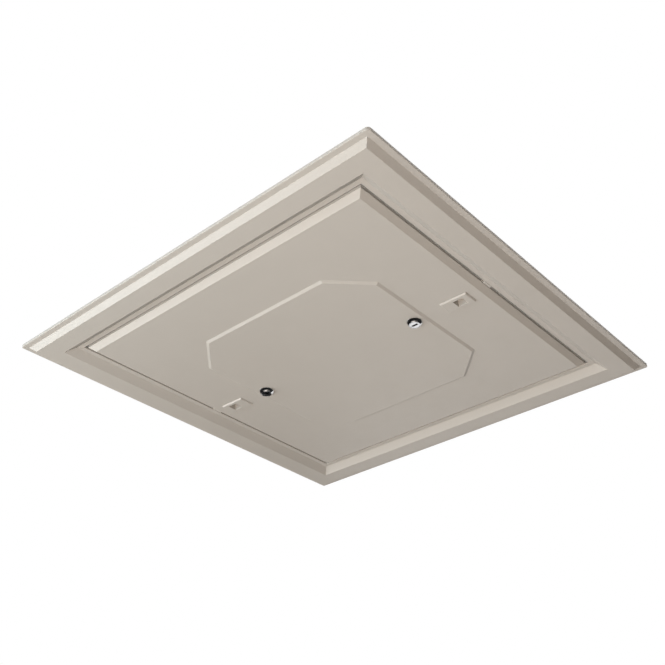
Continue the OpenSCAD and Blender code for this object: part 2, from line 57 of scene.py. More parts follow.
# The camera stands below the panel, near its -X -Y corner, and looks up
CAMERA_AT = Vector((-0.8755, -0.7643, -0.7217))
CAMERA_AIM = Vector((0.6250, 0.5559, 0.5480))
CAMERA_LENS = 50.55
SENSOR_WIDTH = 36.0

# The round floor, in metres; its glow to the camera grows to white between the two radii
FLOOR_Z = -2.2
FLOOR_R = 2.2
FLOOR_FADE_R = 0.9
FLOOR_GLOW = 0.55
FLOOR_STEPS = 96

# The dark wall runs from one azimuth to the other, in degrees, and leaves an opening towards +X
WALL_R = 3.0
WALL_TOP = 0.8
WALL_FOOT = -4.0
WALL_FROM = 42.0
WALL_TO = 345.0
WALL_STEPS = 72

# Square lamps, in metres and degrees; those below z = 0 light the room, the others the loft
LAMP_SIZE = 1.0
SIDE_LAMP_SIZE = 2.0
FULL_SPREAD = 180.0
LOFT_SPREAD = 50.0
WINDOW_AT = Vector((-1.8716, -0.6812, -1.6712))
SKY_AT = Vector((-1.1, 0.2, -0.3))
FAR_AT = Vector((1.2216, 2.1159, -0.8893))
SIDE_AT = Vector((-1.3827, 1.9747, -0.9740))
LOFT_AT = Vector((0.5, -0.7, 2.6))
# The loft has three more lamps: this place, turned about Z by each azimuth
LOFT_SIDE_AT = Vector((2.1, 0.0, 1.5))
LOFT_AZIMUTHS = (30, 150, 270)

# Strengths of the world: where it is seen or mirrored, and as light on everything else
WORLD_SEEN = 1.0
WORLD_FILL = 0.01

# Linear colours
WHITE = (1.0, 1.0, 1.0)
OFF_WHITE = (0.50, 0.455, 0.403)
FOAM_WHITE = (0.80, 0.80, 0.81)
# Painted shade for the open seams between the foam's beads
FOAM_SEAM_SHADE = (0.52, 0.53, 0.56)
FOAM_SHADE = (0.70, 0.70, 0.70)
CHROME = (0.78, 0.78, 0.79)
CHROME_HAZE = (0.60, 0.60, 0.60)
ZINC = (0.46, 0.47, 0.48)
ZINC_CLOUD = (0.66, 0.63, 0.55)
ZINC_GRAIN = (0.40, 0.41, 0.43)
STEEL = (0.42, 0.42, 0.43)
STEEL_SHADE = (0.34, 0.34, 0.35)
SEAL_GREY = (0.24, 0.235, 0.225)
FLOOR_COLOUR = (0.78, 0.75, 0.71)
WALL_COLOUR = (0.03, 0.03, 0.03)
WINDOW_TINT = (1.0, 0.937, 0.888)
SKY_TINT = (0.55, 0.82, 1.0)
FAR_TINT = (1.0, 0.95, 0.85)
SIDE_TINT = (0.95, 0.98, 0.99)

# Most of a noise texture lies between these values
NOISE_LOW = 0.3
NOISE_HIGH = 0.7

BODY_OF = {
    node: body
    for body, nodes in frame["record"]["behaviour"]["bodies"].items()
    for node in nodes
}
SLOT_OF = {row["node"]: row["material_slot"] for row in frame["record"]["subparts"]}


def link(tree, source, target):
    tree.links.new(source, target)


def new_node(tree, kind, **settings):
    made = tree.nodes.new(kind)
    for name, value in settings.items():
        setattr(made, name, value)
    return made


def new_mesh(name, points, faces):
    mesh = bpy.data.meshes.new(name)
    mesh.from_pydata(points, [], faces)
    return mesh


def new_object(name, data):
    """An object in the scene that shows a mesh, a lamp or the camera."""
    made = bpy.data.objects.new(name, data)
    bpy.context.scene.collection.objects.link(made)
    return made


def aim(made, direction):
    """Turns a lamp or the camera to look along a direction."""
    made.rotation_mode = "QUATERNION"
    made.rotation_quaternion = direction.to_track_quat("-Z", "Y")


class Finish:
    """A principled material in the part's own coordinates, in metres."""

    def __init__(self, name, colour, roughness, metallic=0.0):
        self.material = bpy.data.materials.new(name)
        self.material.use_nodes = True
        self.tree = self.material.node_tree
        self.shader = self.tree.nodes["Principled BSDF"]
        self.shader.inputs["Base Color"].default_value = (*colour, 1.0)
        self.shader.inputs["Roughness"].default_value = roughness
        self.shader.inputs["Metallic"].default_value = metallic
        self.place = new_node(self.tree, "ShaderNodeTexCoord").outputs["Object"]
        self.bump = None

    def noise(self, per_metre, detail, place=None):
        """Soft noise in the part's coordinates, or in others."""
        made = new_node(self.tree, "ShaderNodeTexNoise")
        made.inputs["Scale"].default_value = per_metre
        made.inputs["Detail"].default_value = detail
        link(self.tree, place or self.place, made.inputs["Vector"])
        return made.outputs["Fac"]

    def streaks(self, per_metre, detail):
        """Noise with a scale of its own along each axis."""
        mapping = new_node(self.tree, "ShaderNodeMapping")
        mapping.inputs["Scale"].default_value = per_metre
        link(self.tree, self.place, mapping.inputs["Vector"])
        return self.noise(1.0, detail, mapping.outputs["Vector"])

    def cells(self, per_metre, feature="F1"):
        """Distance to the nearest cell's middle, or to its edge."""
        made = new_node(self.tree, "ShaderNodeTexVoronoi", feature=feature)
        made.inputs["Scale"].default_value = per_metre
        link(self.tree, self.place, made.inputs["Vector"])
        return made.outputs["Distance"]

    def between(self, value, low, high, from_low=NOISE_LOW, from_high=NOISE_HIGH):
        """The value, moved from its own range to low..high."""
        made = new_node(self.tree, "ShaderNodeMapRange")
        made.inputs["From Min"].default_value = from_low
        made.inputs["From Max"].default_value = from_high
        made.inputs["To Min"].default_value = low
        made.inputs["To Max"].default_value = high
        link(self.tree, value, made.inputs["Value"])
        return made.outputs["Result"]

    def tint(self, factor, colour):
        """Mixes a colour into the base colour where the factor is high."""
        mix = new_node(self.tree, "ShaderNodeMix", data_type="RGBA")
        base = self.shader.inputs["Base Color"]
        if base.links:
            link(self.tree, base.links[0].from_socket, mix.inputs["A"])
        else:
            mix.inputs["A"].default_value = base.default_value
        mix.inputs["B"].default_value = (*colour, 1.0)
        link(self.tree, factor, mix.inputs["Factor"])
        link(self.tree, mix.outputs["Result"], base)

    def mottle(self, colour, per_metre, detail, most):
        """Mixes in a colour in soft patches, up to a share."""
        self.tint(self.between(self.noise(per_metre, detail), low=0.0, high=most), colour)

    def rough(self, value, low, high):
        """Lets the roughness follow a value."""
        link(self.tree, self.between(value, low, high), self.shader.inputs["Roughness"])

    def raise_by(self, height, distance, strength):
        """Adds a bump of the given height in metres."""
        made = new_node(self.tree, "ShaderNodeBump")
        made.inputs["Distance"].default_value = distance
        made.inputs["Strength"].default_value = strength
        link(self.tree, height, made.inputs["Height"])
        if self.bump:
            link(self.tree, self.bump, made.inputs["Normal"])
        self.bump = made.outputs["Normal"]
        link(self.tree, self.bump, self.shader.inputs["Normal"])


def scaled(colour, share):
    return tuple(channel * share for channel in colour)


def moulded_plastic(name, colour):
    """Satin off-white moulding with a fine grain, faint mottling and slight waves."""
    finish = Finish(name, colour, roughness=0.37)
    finish.mottle(scaled(colour, 0.93), per_metre=5.0, detail=4.0, most=0.30)
    finish.mottle(scaled(colour, 1.05), per_metre=23.0, detail=3.0, most=0.25)
    finish.mottle(scaled(colour, 0.82), per_metre=900.0, detail=2.0, most=0.10)
    finish.rough(finish.noise(per_metre=60.0, detail=4.0), low=0.31, high=0.43)
    finish.raise_by(finish.noise(per_metre=7.0, detail=2.0), distance=0.0020, strength=0.25)
    finish.raise_by(finish.noise(per_metre=1500.0, detail=2.0), distance=0.00005, strength=0.35)
    return finish.material


def bright_chrome():
    """Polished plating with faint wiping marks."""
    finish = Finish("lock_chrome", CHROME, roughness=0.10, metallic=1.0)
    wiped = finish.streaks(per_metre=(900.0, 120.0, 400.0), detail=3.0)
    finish.rough(wiped, low=0.05, high=0.13)
    finish.mottle(CHROME_HAZE, per_metre=500.0, detail=3.0, most=0.25)
    finish.raise_by(wiped, distance=0.00002, strength=0.3)
    return finish.material


def zinc_plate():
    """Zinc-plated sheet with a rolled grain and cloudy passivation."""
    finish = Finish("zinc_steel", ZINC, roughness=0.38, metallic=1.0)
    rolled = finish.streaks(per_metre=(60.0, 900.0, 900.0), detail=3.0)
    finish.mottle(ZINC_CLOUD, per_metre=70.0, detail=4.0, most=0.5)
    finish.tint(finish.between(rolled, low=0.0, high=0.35), ZINC_GRAIN)
    finish.rough(finish.noise(per_metre=140.0, detail=3.0), low=0.28, high=0.48)
    finish.raise_by(rolled, distance=0.00003, strength=0.5)
    return finish.material


def fastener_steel():
    """Bright steel with a fine uneven grain."""
    finish = Finish("fastener_steel", STEEL, roughness=0.32, metallic=1.0)
    finish.mottle(STEEL_SHADE, per_metre=600.0, detail=3.0, most=0.4)
    finish.rough(finish.noise(per_metre=800.0, detail=2.0), low=0.24, high=0.42)
    finish.raise_by(finish.noise(per_metre=2500.0, detail=2.0), distance=0.00002, strength=0.4)
    return finish.material


def bead_foam():
    """Expanded polystyrene: fused beads, with painted shade darkening the open seams between them."""
    finish = Finish("insulation_foam", FOAM_WHITE, roughness=0.75)
    seams = finish.cells(per_metre=260.0, feature="DISTANCE_TO_EDGE")
    # Painted shade: the seams between the beads are tinted darker and cooler
    finish.tint(finish.between(seams, low=0.45, high=0.0, from_low=0.0, from_high=0.12), FOAM_SEAM_SHADE)
    finish.mottle(FOAM_SHADE, per_metre=40.0, detail=3.0, most=0.25)
    crowns = finish.between(seams, low=0.0, high=1.0, from_low=0.0, from_high=0.25)
    finish.raise_by(crowns, distance=0.0003, strength=0.6)
    finish.raise_by(finish.noise(per_metre=1200.0, detail=2.0), distance=0.0001, strength=0.4)
    return finish.material


def seal_rubber():
    """Grey foam rubber with a fine open grain."""
    finish = Finish("seal_rubber", SEAL_GREY, roughness=0.8)
    finish.mottle(scaled(SEAL_GREY, 1.3), per_metre=180.0, detail=3.0, most=0.5)
    finish.rough(finish.noise(per_metre=300.0, detail=2.0), low=0.70, high=0.90)
    finish.raise_by(finish.cells(per_metre=1400.0), distance=0.0002, strength=0.6)
    return finish.material


def floor_paint():
    """Pale paint that fades to the white background towards the floor's edge."""
    finish = Finish("floor_paint", FLOOR_COLOUR, roughness=0.8)
    finish.mottle(scaled(FLOOR_COLOUR, 0.92), per_metre=1.5, detail=3.0, most=0.2)
    tree = finish.tree
    distance = new_node(tree, "ShaderNodeVectorMath", operation="LENGTH")
    link(tree, finish.place, distance.inputs[0])
    fade = finish.between(distance.outputs["Value"], FLOOR_GLOW, 1.0, FLOOR_FADE_R, FLOOR_R)
    path = new_node(tree, "ShaderNodeLightPath")
    share = new_node(tree, "ShaderNodeMath", operation="MULTIPLY")
    link(tree, path.outputs["Is Camera Ray"], share.inputs[0])
    link(tree, fade, share.inputs[1])
    glow = new_node(tree, "ShaderNodeEmission")
    mix = new_node(tree, "ShaderNodeMixShader")
    link(tree, share.outputs[0], mix.inputs["Fac"])
    link(tree, finish.shader.outputs["BSDF"], mix.inputs[1])
    link(tree, glow.outputs["Emission"], mix.inputs[2])
    link(tree, mix.outputs["Shader"], tree.nodes["Material Output"].inputs["Surface"])
    return finish.material


def wall_paint():
    """Dark paint, slightly uneven."""
    finish = Finish("wall_paint", WALL_COLOUR, roughness=0.9)
    finish.mottle(scaled(WALL_COLOUR, 2.0), per_metre=1.2, detail=3.0, most=0.5)
    return finish.material


SLOT_FINISHES = {
    "frame_plastic": moulded_plastic("frame_plastic", OFF_WHITE),
    "door_plastic": moulded_plastic("door_plastic", OFF_WHITE),
    "catch_plastic": moulded_plastic("catch_plastic", OFF_WHITE),
    "seal_rubber": seal_rubber(),
    "insulation_foam": bead_foam(),
    "zinc_steel": zinc_plate(),
    "lock_chrome": bright_chrome(),
    "fastener_steel": fastener_steel(),
}


def finish_nodes():
    """Gives every CAD node the finish of its slot."""
    for node, slot_name in SLOT_OF.items():
        for slot in frame["nodes"][node].material_slots:
            slot.material = SLOT_FINISHES[slot_name]


def at_angle(value, angle):
    """A value that may be a function of the angle."""
    return value(angle) if callable(value) else value


def lathe(rings, steps, closed=False):
    """Points and faces about Z from (radius, height) rings, in mm or as functions of the angle."""
    points, rows, faces = [], [], []
    for radius, height in rings:
        count = 1 if radius == 0 else steps
        rows.append(range(len(points), len(points) + count))
        for k in range(count):
            angle = FULL_TURN * k / steps
            r = at_angle(radius, angle)
            points.append(Vector((r * math.cos(angle), r * math.sin(angle), at_angle(height, angle))))
    pairs = list(zip(rows, rows[1:]))
    if closed:
        pairs.append((rows[-1], rows[0]))
    for low, high in pairs:
        for k in range(steps):
            n = (k + 1) % steps
            corners = (low[k % len(low)], low[n % len(low)], high[n % len(high)], high[k % len(high)])
            faces.append(tuple(dict.fromkeys(corners)))
    return points, faces


def placed(shape, origin, up=(0, 0, 1), turn=0.0):
    """A shape in mm, turned about Z, tilted from Z to up and set at an origin in metres."""
    points, faces = shape
    tilt = Vector((0, 0, 1)).rotation_difference(Vector(up)).to_matrix()
    spin = Matrix.Rotation(turn, 3, "Z")
    return [tilt @ (spin @ p) * MM + Vector(origin) for p in points], faces


def joined(shapes):
    """Several shapes as one."""
    points, faces = [], []
    for some_points, some_faces in shapes:
        first = len(points)
        points += some_points
        faces += [tuple(first + i for i in face) for face in some_faces]
    return points, faces


def detail_piece(name, shapes, node):
    """A detailed mesh that takes a CAD node's place, body and finish."""
    mesh = new_mesh(name, *joined(shapes))
    shell = bmesh.new()
    shell.from_mesh(mesh)
    bmesh.ops.recalc_face_normals(shell, faces=shell.faces)
    shell.to_mesh(mesh)
    shell.free()
    mesh.shade_smooth()
    mesh.set_sharp_from_angle(angle=SHARP_EDGE)
    stand_for(new_object(name, mesh), node)


def stand_for(piece, node):
    """Gives a piece a CAD node's finish, body and slot, and hides the node behind it."""
    piece.data.materials.clear()
    piece.data.materials.append(SLOT_FINISHES[SLOT_OF[node]])
    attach(piece, BODY_OF[node])
    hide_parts(node)


def middle(node):
    """The middle of a CAD node's box."""
    low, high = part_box(node)
    return (low + high) / 2


# Pan-head screws, in mm
PAN_HEAD_R = 3.0
PAN_HEAD_H = 2.0
PAN_RIM_H = 0.7
PAN_SHANK_R = 1.5
PAN_SHANK_L = 7.0
PAN_POINT_L = 1.6
CROSS_HALF_L = 1.55
CROSS_HALF_W = 0.5
CROSS_DEPTH = 1.1
CROSS_TAPER = 0.62
PAN_STEPS = 48
PAN_DOME_RINGS = 6
# How far each screw was driven round, in radians
STRAP_SCREW_TURNS = (0.3, 1.1, 0.7, 0.05)
CATCH_SCREW_TURNS = {"catch_a": 0.5, "catch_b": 0.9}


def cross_reach(angle):
    """Distance from the axis to the edge of a cross recess."""
    c = max(abs(math.cos(angle)), TINY)
    s = max(abs(math.sin(angle)), TINY)
    along_x = min(CROSS_HALF_L / c, CROSS_HALF_W / s)
    along_y = min(CROSS_HALF_L / s, CROSS_HALF_W / c)
    return max(along_x, along_y)


def pan_dome(r):
    """Height of the head's dome at a radius."""
    rise = math.sqrt(max(0.0, 1 - (r / PAN_HEAD_R) ** 2))
    return PAN_RIM_H + (PAN_HEAD_H - PAN_RIM_H) * rise


def pan_screw():
    """A domed screw with a cross recess, its head's underside at z = 0."""
    rings = [
        (0, -PAN_SHANK_L),
        (PAN_SHANK_R, PAN_POINT_L - PAN_SHANK_L),
        (PAN_SHANK_R, 0.0),
        (PAN_HEAD_R, 0.0),
    ]
    for k in range(PAN_DOME_RINGS + 1):
        share = (k / PAN_DOME_RINGS) ** 2

        def radius(angle, share=share):
            return PAN_HEAD_R + (cross_reach(angle) - PAN_HEAD_R) * share

        rings.append((radius, lambda angle, radius=radius: pan_dome(radius(angle))))
    rings.append((lambda angle: CROSS_TAPER * cross_reach(angle), PAN_HEAD_H - CROSS_DEPTH))
    rings.append((0, PAN_HEAD_H - CROSS_DEPTH))
    return lathe(rings, PAN_STEPS)


def add_pan_screws():
    screw = pan_screw()
    head_r = PAN_HEAD_R * MM
    low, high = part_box("strap_screws")
    spots = [
        (x, y, high.z - PAN_HEAD_H * MM)
        for x in (low.x + head_r, high.x - head_r)
        for y in (low.y + head_r, high.y - head_r)
    ]
    shapes = [placed(screw, spot, turn=turn) for spot, turn in zip(spots, STRAP_SCREW_TURNS)]
    detail_piece("strap_pan_screws", shapes, "strap_screws")
    for catch, turn in CATCH_SCREW_TURNS.items():
        node = f"{catch}_screw"
        spot = middle(node)
        spot.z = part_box(node)[1].z - PAN_HEAD_H * MM
        detail_piece(f"{catch}_pan_screw", [placed(screw, spot, turn=turn)], node)


# Hexagon heads and nuts, in mm
HEX_STEPS = 72
CHAMFER_SHARE = 0.96
CHAMFER_SLOPE = math.tan(math.radians(30))
SIXTH = FULL_TURN / 6


def hex_rings(flats, low, high, both_ends):
    """Rings up the sides of a hexagon whose corners are chamfered at the top, or at both ends."""
    circle = CHAMFER_SHARE * flats / 2

    def reach(angle):
        return flats / 2 / math.cos(angle % SIXTH - SIXTH / 2)

    def drop(angle):
        return (reach(angle) - circle) * CHAMFER_SLOPE

    foot = [(circle, low), (reach, lambda angle: low + drop(angle))] if both_ends else [(reach, low)]
    return foot + [(reach, lambda angle: high - drop(angle)), (circle, high)]


NUT_FLATS = 24.0
NUT_BORE_R = 9.35
NUT_T = 5.0
NUT_SINK = 0.6
ARM_SCREW_FLATS = 8.0
ARM_SCREW_HEAD_H = 3.5
ARM_SCREW_R = 2.5
ARM_SCREW_L = 12.0
ARM_SCREW_CHAMFER = 0.5
WASHER_FACE_R = 3.7
WASHER_FACE_H = 0.3
HEAD_DISH_R = 2.8
HEAD_DISH = 0.25


def lock_nut():
    """A thin hexagon nut, chamfered at both ends, with a countersunk bore."""
    rings = hex_rings(NUT_FLATS, 0.0, NUT_T, both_ends=True)
    rings += [
        (NUT_BORE_R + NUT_SINK, NUT_T),
        (NUT_BORE_R, NUT_T - NUT_SINK),
        (NUT_BORE_R, NUT_SINK),
        (NUT_BORE_R + NUT_SINK, 0.0),
    ]
    return lathe(rings, HEX_STEPS, closed=True)


def arm_screw():
    """A hexagon screw with a washer face and a dished head, its underside at z = 0."""
    rings = [
        (0, -ARM_SCREW_L),
        (ARM_SCREW_R - ARM_SCREW_CHAMFER, -ARM_SCREW_L),
        (ARM_SCREW_R, ARM_SCREW_CHAMFER - ARM_SCREW_L),
        (ARM_SCREW_R, 0.0),
        (WASHER_FACE_R, 0.0),
        (WASHER_FACE_R, WASHER_FACE_H),
    ]
    rings += hex_rings(ARM_SCREW_FLATS, WASHER_FACE_H, ARM_SCREW_HEAD_H, both_ends=False)
    rings += [
        (HEAD_DISH_R, ARM_SCREW_HEAD_H),
        (HEAD_DISH_R - HEAD_DISH, ARM_SCREW_HEAD_H - HEAD_DISH),
        (0, ARM_SCREW_HEAD_H - HEAD_DISH),
    ]
    return lathe(rings, HEX_STEPS)


# Blind rivets, in mm, with the head's seat at z = 0 and the tail upwards
RIVET_R = 2.0
RIVET_HEAD_R = 4.0
RIVET_HEAD_H = 1.4
RIVET_GRIP = 4.5
RIVET_TAIL_R = 3.2
RIVET_TAIL_H = 1.0
RIVET_EYE_R = 1.0
RIVET_EYE_DEPTH = 0.9
RIVET_DOME_POWER = 3
RIVET_DOME_RINGS = 6
RIVET_STEPS = 40


def blind_rivet():
    """A domed rivet with the open eye of its drawn pin and a rolled tail."""
    eye_z = RIVET_EYE_DEPTH - RIVET_HEAD_H
    tail_z = RIVET_GRIP + RIVET_TAIL_H
    rings = [(0, eye_z), (RIVET_EYE_R, eye_z)]
    for k in range(RIVET_DOME_RINGS + 1):
        r = RIVET_EYE_R + (RIVET_HEAD_R - RIVET_EYE_R) * k / RIVET_DOME_RINGS
        rise = math.sqrt(max(0.0, 1 - (r / RIVET_HEAD_R) ** RIVET_DOME_POWER))
        rings.append((r, -RIVET_HEAD_H * rise))
    rings += [(RIVET_R, 0.0), (RIVET_R, RIVET_GRIP)]
    for k in range(1, RIVET_DOME_RINGS):
        bulge = math.sin(math.pi * k / RIVET_DOME_RINGS)
        r = RIVET_R + (RIVET_TAIL_R - RIVET_R) * bulge
        rings.append((r, RIVET_GRIP + RIVET_TAIL_H * k / RIVET_DOME_RINGS))
    rings += [(RIVET_EYE_R, tail_z), (0, tail_z - RIVET_EYE_DEPTH)]
    return lathe(rings, RIVET_STEPS)


def add_rivets():
    rivet = blind_rivet()
    low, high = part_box("keeper_rivets")
    back = (RIVET_GRIP + RIVET_TAIL_H) * MM
    height = (low.z + high.z) / 2
    shapes = []
    for x in (low.x + RIVET_HEAD_R * MM, high.x - RIVET_HEAD_R * MM):
        shapes.append(placed(rivet, (x, high.y - back, height), up=(0, 1, 0)))
        shapes.append(placed(rivet, (x, low.y + back, height), up=(0, -1, 0)))
    detail_piece("keeper_blind_rivets", shapes, "keeper_rivets")


# Lock bodies, in mm; heights are measured from the tip of the head
LOCK_STEPS = 96
LOCK_MOUTH_R = 7.25
LOCK_FACE_R = 8.25
LOCK_HEAD_R = 11.5
LOCK_HEAD_H = 5.6
LOCK_RIM_H = 0.8
LOCK_BULGE = 0.35
LOCK_EDGE = 0.25
LOCK_TAPER_RINGS = 10
LOCK_LIP_H = 2.0
LOCK_BORE_R = 6.55
BARREL_R = 9.3
BARREL_HALF_FLATS = 8.0
THREAD_PITCH = 1.0
THREAD_DEPTH = 0.5
THREAD_ROWS_PER_TURN = 4
THREAD_START = 0.6


def barrel_reach(r):
    """A radius cut down to the barrel's two flats."""
    def reach(angle):
        across = max(abs(math.cos(angle)), TINY)
        return min(at_angle(r, angle), BARREL_HALF_FLATS / across)
    return reach


def thread_reach(height):
    """The thread's radius round the barrel at a height."""
    def reach(angle):
        phase = (height / THREAD_PITCH - angle / FULL_TURN) % 1
        return BARREL_R - THREAD_DEPTH * abs(2 * phase - 1)
    return barrel_reach(reach)


def lock_body(length):
    """A plated head with a domed taper, and a threaded barrel with two flats."""
    rings = [(LOCK_MOUTH_R, LOCK_EDGE), (LOCK_MOUTH_R + LOCK_EDGE, 0.0), (LOCK_FACE_R - LOCK_EDGE, 0.0)]
    taper_h = LOCK_HEAD_H - LOCK_RIM_H
    for k in range(LOCK_TAPER_RINGS + 1):
        share = k / LOCK_TAPER_RINGS
        bulge = LOCK_BULGE * math.sin(math.pi * share)
        rings.append((
            LOCK_FACE_R + (LOCK_HEAD_R - LOCK_FACE_R) * share + bulge,
            LOCK_EDGE + (taper_h - LOCK_EDGE) * share - bulge / 2,
        ))
    rings += [
        (LOCK_HEAD_R, LOCK_HEAD_H - LOCK_EDGE),
        (LOCK_HEAD_R - LOCK_EDGE, LOCK_HEAD_H),
        (barrel_reach(BARREL_R - THREAD_DEPTH), LOCK_HEAD_H),
    ]
    low, high = LOCK_HEAD_H + THREAD_START, length - THREAD_START
    rows = round((high - low) / THREAD_PITCH * THREAD_ROWS_PER_TURN)
    for k in range(rows + 1):
        height = low + (high - low) * k / rows
        rings.append((thread_reach(height), height))
    rings += [
        (barrel_reach(BARREL_R - THREAD_DEPTH), length),
        (LOCK_BORE_R, length),
        (LOCK_BORE_R, LOCK_LIP_H),
        (LOCK_MOUTH_R, LOCK_LIP_H),
    ]
    return lathe(rings, LOCK_STEPS, closed=True)


# Lock plugs, in mm; heights are measured from the front at its rim
KEY_HALF_L = 4.5
KEY_HALF_W = 1.25
KEY_DEPTH = 9.0
KEY_EDGE = 0.5
PLUG_LIP_R = 7.2
PLUG_LIP_H = 1.7
PLUG_R = 6.5
PLUG_EDGE = 0.2
PLUG_DOME = 0.2
PLUG_DOME_RINGS = 8
DRIVE_HALF_W = 4.0
DRIVE_H = 3.0
PLUG_BORE_R = 2.6
PLUG_BORE_DEPTH = 12.0


def key_reach(grow):
    """Distance from the axis to the edge of the key slot, grown by an amount."""
    def reach(angle):
        across = max(abs(math.cos(angle)), TINY)
        along = max(abs(math.sin(angle)), TINY)
        return min((KEY_HALF_W + grow) / across, (KEY_HALF_L + grow) / along)
    return reach


def drive_reach(angle):
    """Distance from the axis to the side of the square that drives the arm."""
    return DRIVE_HALF_W / max(abs(math.cos(angle)), abs(math.sin(angle)))


def plug_front(r):
    """Height of the plug's domed front at a radius."""
    return -PLUG_DOME * (1 - (r / PLUG_LIP_R) ** 2)


def lock_plug(length):
    """A plug with a slightly domed front, an eased key slot and a square that drives the arm."""
    slot, mouth = key_reach(0.0), key_reach(KEY_EDGE)
    rim_r = PLUG_LIP_R - PLUG_EDGE
    rings = [
        (0, KEY_DEPTH),
        (slot, KEY_DEPTH),
        (slot, lambda angle: plug_front(slot(angle)) + KEY_EDGE),
    ]
    for k in range(PLUG_DOME_RINGS + 1):
        share = k / PLUG_DOME_RINGS

        def radius(angle, share=share):
            return mouth(angle) + (rim_r - mouth(angle)) * share

        rings.append((radius, lambda angle, radius=radius: plug_front(radius(angle))))
    rings += [
        (PLUG_LIP_R, PLUG_EDGE),
        (PLUG_LIP_R, PLUG_LIP_H),
        (PLUG_R, PLUG_LIP_H),
        (PLUG_R, length - DRIVE_H),
        (drive_reach, length - DRIVE_H),
        (drive_reach, length),
        (PLUG_BORE_R, length),
        (PLUG_BORE_R, length - PLUG_BORE_DEPTH),
        (0, length - PLUG_BORE_DEPTH),
    ]
    return lathe(rings, LOCK_STEPS)


def add_on_lock(lock, piece, node, shape, height):
    """A piece of a lock, upright on the axis of the lock's body."""
    axis = middle(f"{lock}_body")
    detail_piece(f"{lock}_{piece}", [placed(shape, (axis.x, axis.y, height))], f"{lock}_{node}")


def add_locks():
    for lock in LOCKS:
        low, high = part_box(f"{lock}_body")
        add_on_lock(lock, "threaded_body", "body", lock_body((high.z - low.z) / MM), low.z)
        low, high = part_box(f"{lock}_plug")
        add_on_lock(lock, "key_plug", "plug", lock_plug((high.z - low.z) / MM), low.z)
        nut_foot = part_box(f"{lock}_nut")[0].z
        add_on_lock(lock, "hex_nut", "nut", lock_nut(), nut_foot)
        screw_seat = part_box(f"{lock}_arm_screw")[1].z - ARM_SCREW_HEAD_H * MM
        add_on_lock(lock, "hex_screw", "arm_screw", arm_screw(), screw_seat)


# The draught seal's section, in mm inwards from its outer edge and up from its foot
SEAL_SECTION = (
    (0.0, 0.0), (0.0, 1.5), (0.4, 1.9), (1.0, 2.0), (1.5, 1.75), (2.0, 1.75), (2.5, 2.0), (3.2, 1.95),
    (3.7, 1.7), (4.2, 1.7), (4.7, 1.95), (5.6, 2.0), (8.0, 1.9), (10.2, 1.75), (10.7, 1.6), (10.8, 1.45),
    (10.5, 1.3), (8.0, 1.15), (6.4, 1.0), (6.1, 0.8), (6.1, 0.0),
)
# Half the opening that the seal leaves for each bolt, in mm
SEAL_NOTCH = 9.0
# Where the section stands along one half of the seal, and on which side in Y
SEAL_STATIONS = (("bolt", 1), ("corner", 1), ("corner", -1), ("bolt", -1))


def seal_half(side, outer, foot, notch_x):
    """One half of the seal, from bolt to bolt round the side at +X or -X."""
    start = notch_x + side * SEAL_NOTCH * MM
    count = len(SEAL_SECTION)
    points, rows, faces = [], [], []
    for station, y_side in SEAL_STATIONS:
        rows.append(range(len(points), len(points) + count))
        for inset, rise in SEAL_SECTION:
            u = outer - inset * MM
            x = side * u if station == "corner" else start
            points.append(Vector((x, y_side * u, foot + rise * MM)))
    for row, after in zip(rows, rows[1:]):
        for k in range(count):
            n = (k + 1) % count
            faces.append((row[k], row[n], after[n], after[k]))
    faces.append(tuple(rows[0]))
    faces.append(tuple(rows[-1]))
    return points, faces


def add_seal():
    low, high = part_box("draught_seal")
    notch_x = middle("catch_a_bolt").x
    halves = [seal_half(side, high.x, low.z, notch_x) for side in (-1, 1)]
    detail_piece("seal_strip", halves, "draught_seal")


# The insulation block's beads, in metres
BEAD_VOXEL = 0.0026
BEAD_SIZE = 0.0052
BEAD_RISE = 0.0004
# The level of the bead texture that stays in place, and the rounds that soften the cut edges
BEAD_LEVEL = 0.3
EDGE_ROUNDS = 2


def add_foam_block():
    """The block as cut bead board: softened edges and a surface of fused beads."""
    piece = new_object("insulation_beads", frame["nodes"]["insulation_block"].data.copy())
    voxels = piece.modifiers.new("voxels", "REMESH")
    voxels.mode = "VOXEL"
    voxels.voxel_size = BEAD_VOXEL
    voxels.use_smooth_shade = True
    soften = piece.modifiers.new("soften", "SMOOTH")
    soften.iterations = EDGE_ROUNDS
    beads = bpy.data.textures.new("beads", "VORONOI")
    beads.noise_scale = BEAD_SIZE
    beads.distance_metric = "DISTANCE"
    raised = piece.modifiers.new("raised", "DISPLACE")
    raised.texture = beads
    raised.texture_coords = "LOCAL"
    raised.strength = -BEAD_RISE
    raised.mid_level = BEAD_LEVEL
    bpy.context.view_layer.update()
    shaped = piece.evaluated_get(bpy.context.evaluated_depsgraph_get())
    piece.data = bpy.data.meshes.new_from_object(shaped)
    piece.modifiers.clear()
    stand_for(piece, "insulation_block")


def add_floor():
    """A round pale floor below the panel."""
    points = [(0.0, 0.0, 0.0)]
    for k in range(FLOOR_STEPS):
        angle = FULL_TURN * k / FLOOR_STEPS
        points.append((FLOOR_R * math.cos(angle), FLOOR_R * math.sin(angle), 0.0))
    faces = [(0, 1 + k, 1 + (k + 1) % FLOOR_STEPS) for k in range(FLOOR_STEPS)]
    floor = new_object("floor", new_mesh("floor", points, faces))
    floor.data.materials.append(floor_paint())
    floor.location.z = FLOOR_Z


def add_dark_wall():
    """A dark curved wall round most of the room, which only reflections show."""
    points, faces = [], []
    for k in range(WALL_STEPS + 1):
        azimuth = math.radians(WALL_FROM + (WALL_TO - WALL_FROM) * k / WALL_STEPS)
        for height in (WALL_FOOT, WALL_TOP):
            points.append((WALL_R * math.cos(azimuth), WALL_R * math.sin(azimuth), height))
    for k in range(WALL_STEPS):
        faces.append((2 * k, 2 * k + 1, 2 * k + 3, 2 * k + 2))
    wall = new_object("dark_wall", new_mesh("dark_wall", points, faces))
    wall.data.materials.append(wall_paint())
    wall.visible_camera = False
    wall.visible_diffuse = False
    wall.visible_shadow = False


